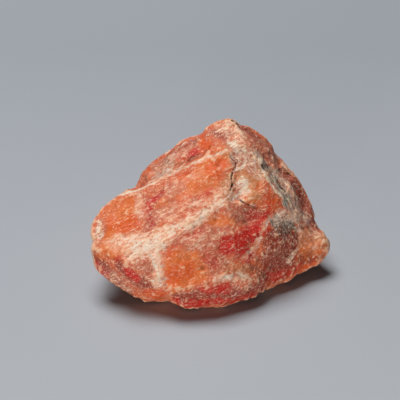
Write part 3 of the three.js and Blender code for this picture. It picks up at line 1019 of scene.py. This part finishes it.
# %% Vein, black alteration and painted shade
VEIN_GREY = screen(104, 88, 70)
VEIN_PALE = screen(224, 218, 202)
SOOT_AND_SHADE = screen(56, 36, 26)

crisp_fibres = times_plus(fibres, factor=4.0, addend=-1.5)
fibre_mask = ragged_patch(crisp_fibres, flecks, raggedness=0.7, edge=0.2)
vein_colour = over(VEIN_GREY, VEIN_PALE, fibre_mask)
vein_mask = ragged_patch(marking("vein"), fibres, raggedness=2.2, edge=0.3)
colour = over(colour, vein_colour, only_marked(vein_mask, "vein"), strength=0.9)
# This layer also carries painted shade in the vein's groove and in the cracks.
soot_and_shade_marking = times_plus(marking("soot_and_shade"), factor=1.85, addend=-0.95)
soot_and_shade_mask = ragged_patch(soot_and_shade_marking, flecks, raggedness=4.0, edge=0.2)
colour = over(colour, SOOT_AND_SHADE, only_marked(soot_and_shade_mask, "soot_and_shade"), strength=0.9)
print("vein laid")

# %% [markdown]
# ## The finish: crushed stone
#
# One pale colour would look like paint, so crushed stone is built in steps: a frosted ground with blushes
# of the red stone in it, a pale mist in shards, and then crisp flecks, first dark and then pale. The
# palest flecks are partly painted glints. Flecks come in clusters, because stone crushes in patches.
# Clear and red stone keeps most of the pale flecks away.

# %% Frost, blush and mist
FROSTED = screen(244, 170, 134)
BLUSH = screen(206, 84, 62)
MIST = screen(252, 214, 190)

crushed = maths(tree, "MULTIPLY", marking("crushed"), torn)
frost_mask = ragged_patch(marking("crushed"), torn, raggedness=2.0, edge=0.45)
colour = over(colour, FROSTED, frost_mask, strength=0.7)
blush_marking = times_plus(crushed, factor=0.9, addend=-0.2)
blush_mask = ragged_patch(blush_marking, mottle, raggedness=3.4, edge=0.25)
colour = over(colour, BLUSH, blush_mask, strength=0.5)
mist_marking = times_plus(crushed, factor=1.8, addend=-0.6)
mist_mask = ragged_patch(mist_marking, shards, raggedness=4.5, edge=0.35)
colour = over(colour, MIST, mist_mask, strength=0.7)
print("frost laid")

# %% Dark flecks
dark_marking = times_plus(clusters, factor=-0.6, addend=0.10)
dark_flecks = maths(tree, "SUBTRACT", 1.0, flecks)
dark_mask = ragged_patch(dark_marking, dark_flecks, raggedness=3.4, edge=0.18)
colour = over(colour, MAROON, dark_mask, strength=0.58)
print("dark flecks laid")

# %% Sugar and cream
SUGAR = screen(252, 206, 168)
CREAM = screen(246, 230, 208)
CLEAR_SHARE = 0.25

clear = maths(tree, "MAXIMUM", marking("red"), marking("amber"))
clear = maths(tree, "MAXIMUM", marking("orange"), clear)
clear = maths(tree, "MULTIPLY", clear, CLEAR_SHARE)
sugar_base = times_plus(broad, factor=0.35, addend=clusters)
sugar_marking = times_plus(crushed, factor=0.85, addend=sugar_base)
sugar_marking = maths(tree, "SUBTRACT", sugar_marking, clear)
sugar_mask = ragged_patch(sugar_marking, flecks, raggedness=2.6, edge=0.24)
colour = over(colour, SUGAR, sugar_mask, strength=0.86)
cream_mask = ragged_patch(marking("cream"), flecks, raggedness=4.2, edge=0.3)
colour = over(colour, CREAM, cream_mask, strength=0.9)
print("sugar and cream laid")

# %% Sparks and painted glints
# These near-white flecks are pale grains and painted glints.
FLECK_AND_GLINT = screen(255, 234, 216)

fleck_and_glint_base = times_plus(clusters, factor=0.5, addend=0.09)
fleck_and_glint_marking = times_plus(crushed, factor=0.7, addend=fleck_and_glint_base)
fleck_and_glint_marking = times_plus(marking("soot_and_shade"), factor=0.3, addend=fleck_and_glint_marking)
fleck_and_glint_marking = times_plus(clear, factor=-1.5, addend=fleck_and_glint_marking)
fleck_and_glint_mask = ragged_patch(fleck_and_glint_marking, flecks, raggedness=2.8, edge=0.12)
colour = over(colour, FLECK_AND_GLINT, fleck_and_glint_mask, strength=0.9)
print("sparks laid")

# %% [markdown]
# ## The finish: hairlines, bruises and cracks
#
# Healed hairline cracks make two nets, a wide and a narrow one. The borders of cells could give such
# nets, but their lines are straight and even. Here a line lies where a noise crosses its middle value, so
# it wanders and breaks off. Last come straight scratches along the cleavage, the bruised edges, and
# painted shade in the hollows and in the open cracks.

# %% Hairlines
HAIRLINE = screen(255, 216, 184)
NARROW_LEVEL = 0.36
SCRATCH_LEVEL = 0.18

def near_middle(texture, steepness, level):
    """High where a noise is near its middle value: a net of lines."""
    off_middle = maths(tree, "ABSOLUTE", maths(tree, "SUBTRACT", texture, HALF))
    return times_plus(off_middle, -steepness, level)

wide_level = maths(tree, "ADD", clusters, times_plus(clear, factor=-1.2, addend=0.80))
wide_net = near_middle(net, steepness=26.0, level=wide_level)
wide_mask = ragged_patch(wide_net, fine, raggedness=3.0, edge=0.2)
colour = over(colour, HAIRLINE, wide_mask, strength=0.8)
narrow_level = maths(tree, "ADD", clusters, NARROW_LEVEL)
narrow_net = near_middle(small_net, steepness=20.0, level=narrow_level)
narrow_mask = ragged_patch(narrow_net, fine, raggedness=3.0, edge=0.2)
colour = over(colour, HAIRLINE, narrow_mask, strength=0.65)
scratch_marking = maths(tree, "SUBTRACT", streaks, SCRATCH_LEVEL)
scratch_mask = ragged_patch(scratch_marking, fine, raggedness=0.35, edge=0.05)
colour = over(colour, SUGAR, scratch_mask, strength=0.6)
print("hairlines laid")

# %% Edges, hollows and cracks
CRACK_SHADE = screen(58, 28, 20)

bruise_mask = ragged_patch(marking("ridge"), fine, raggedness=0.7, edge=0.2)
colour = over(colour, SUGAR, bruise_mask, strength=0.65)
# Maroon in the hollows is painted shade.
hollow_shade_mask = ragged_patch(marking("hollow"), fine, raggedness=0.6, edge=0.3)
colour = over(colour, MAROON, hollow_shade_mask, strength=0.5)
# Dark brown in the open cracks is painted shade.
crack_shade_mask = ragged_patch(marking("crack"), fine, raggedness=0.3, edge=0.25)
colour = over(colour, CRACK_SHADE, crack_shade_mask, strength=0.85)
tree.links.new(colour, shader.inputs["Base Color"])
print("colours laid with", len(tree.nodes), "nodes")

# %% [markdown]
# ## The finish: gloss, depth and grain
#
# Broken triplite is waxy, with a few cleavage faces that glint. A little light sinks into the stone, the
# red part the deepest, so its shadows stay warm. Transmission could do that too, but it would make the
# cloudy stone look like jelly. A fine bump adds the grain that is too small for the mesh.

# %% Depth
STONE_IOR = 1.6
LIGHT_REACH = (1.0, 0.35, 0.18)
SINK_DEPTH = 0.9 * MM

shader.inputs["IOR"].default_value = STONE_IOR
shader.inputs["Specular IOR Level"].default_value = 0.3
shader.inputs["Subsurface Weight"].default_value = 0.25
shader.inputs["Subsurface Radius"].default_value = LIGHT_REACH
shader.inputs["Subsurface Scale"].default_value = SINK_DEPTH
print("light sinks in by about", SINK_DEPTH / MM, "mm")

# %% Gloss and grain
GLINT_SHARE = 0.2
WAXY = 0.42
WAXY_SPREAD = 0.3
GLINT_GAIN = 0.26
GRAIN_SHARE = 0.5
BUMP_STRENGTH = 0.8
BUMP_DEPTH = 0.35 * MM

leaning = tree.nodes.new("ShaderNodeGroup")
leaning.node_tree = grains
tree.links.new(laid_out(along=0.5, across=0.4), leaning.inputs["Place"])
glinting = maths(tree, "GREATER_THAN", leaning.outputs["Shade"], 1 - GLINT_SHARE)
waxy = times_plus(fine, WAXY_SPREAD, WAXY)
tree.links.new(times_plus(glinting, -GLINT_GAIN, waxy), shader.inputs["Roughness"])

lean_height = maths(tree, "MULTIPLY", leaning.outputs["Height"], GRAIN_SHARE)
bump = tree.nodes.new("ShaderNodeBump")
bump.inputs["Strength"].default_value = BUMP_STRENGTH
bump.inputs["Distance"].default_value = BUMP_DEPTH
tree.links.new(times_plus(fine, GRAIN_SHARE, lean_height), bump.inputs["Height"])
tree.links.new(bump.outputs[0], shader.inputs["Normal"])

stone.data.materials.clear()
stone.data.materials.append(finish)
print("finish of", len(tree.nodes), "nodes")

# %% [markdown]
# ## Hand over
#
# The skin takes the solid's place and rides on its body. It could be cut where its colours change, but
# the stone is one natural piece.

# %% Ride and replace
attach(stone, "root")
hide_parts("triplite")
